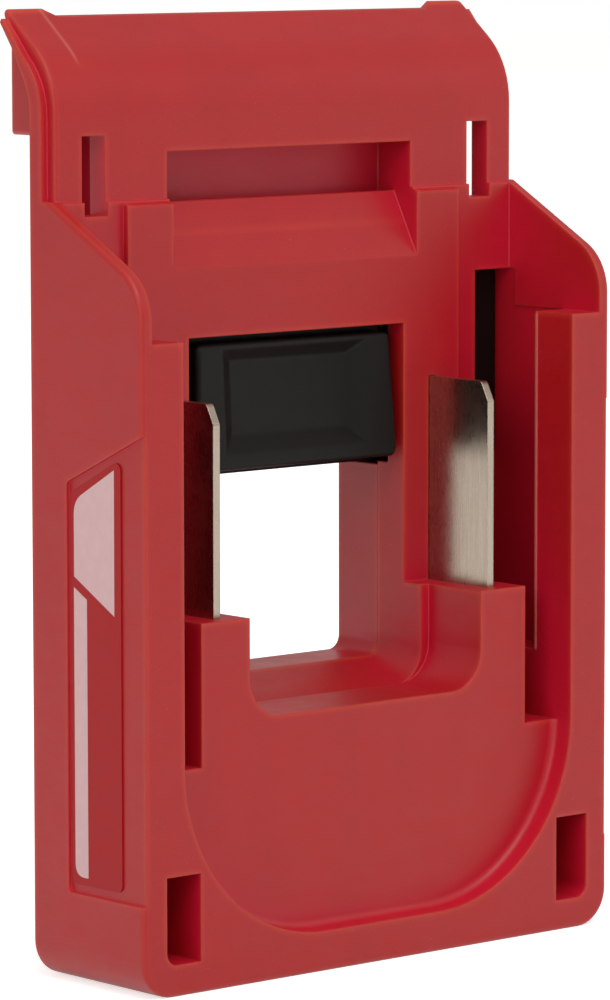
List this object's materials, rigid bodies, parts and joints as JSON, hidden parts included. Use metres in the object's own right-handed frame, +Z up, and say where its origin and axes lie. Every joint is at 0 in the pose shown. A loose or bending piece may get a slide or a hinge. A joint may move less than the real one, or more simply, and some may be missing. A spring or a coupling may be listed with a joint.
{
  "type": "tool battery adapter",
  "caption": "Slide-in battery adapter: moulded housing with rail flanges, blade terminals, a flared top and a sprung release paddle in its window.",
  "frame": {"origin": "middle of the bounding box at the base, so the adapter stands on Z = 0", "axes": "+Z up along the rails, -Y towards the battery side with the blades, +Y towards the tool side, +X to the right seen from the battery side"},
  "size_m": [0.076, 0.0284, 0.1166],
  "materials": {
    "red_housing": "fine moulded texture",
    "red_cover": "fine moulded texture",
    "black_plastic": "matt",
    "black_paddle": "fine moulded texture",
    "steel": "zinc plated",
    "nickel": "nickel plated",
    "brass": "stamped",
    "label": "satin film"
  },
  "bodies": {
    "housing": {"front_housing": "red_housing", "rear_cover": "red_cover", "latch_carrier": "black_plastic", "pivot_pin": "steel", "contact_shroud": "black_plastic", "contact_rivets": "brass", "cover_screws": "steel", "label_left": "label", "return_spring_left": "steel", "return_spring_right": "steel", "blade_left": "nickel", "blade_right": "nickel", "bus_strip_left": "brass", "bus_strip_right": "brass", "rear_contact_left": "nickel", "rear_contact_right": "nickel"},
    "paddle": {"release_paddle": "black_paddle"}
  },
  "joints": [
    {"name": "paddle_press", "type": "hinge", "parent": "housing", "child": "paddle", "pos_m": [0, 0.00945, 0.0815], "axis": [1, 0, 0], "range_deg": [0, 9], "stiffness_Nm_per_rad": 0.25, "springref_deg": -8.59, "deforming": ["return_spring_left", "return_spring_right"]}
  ]
}
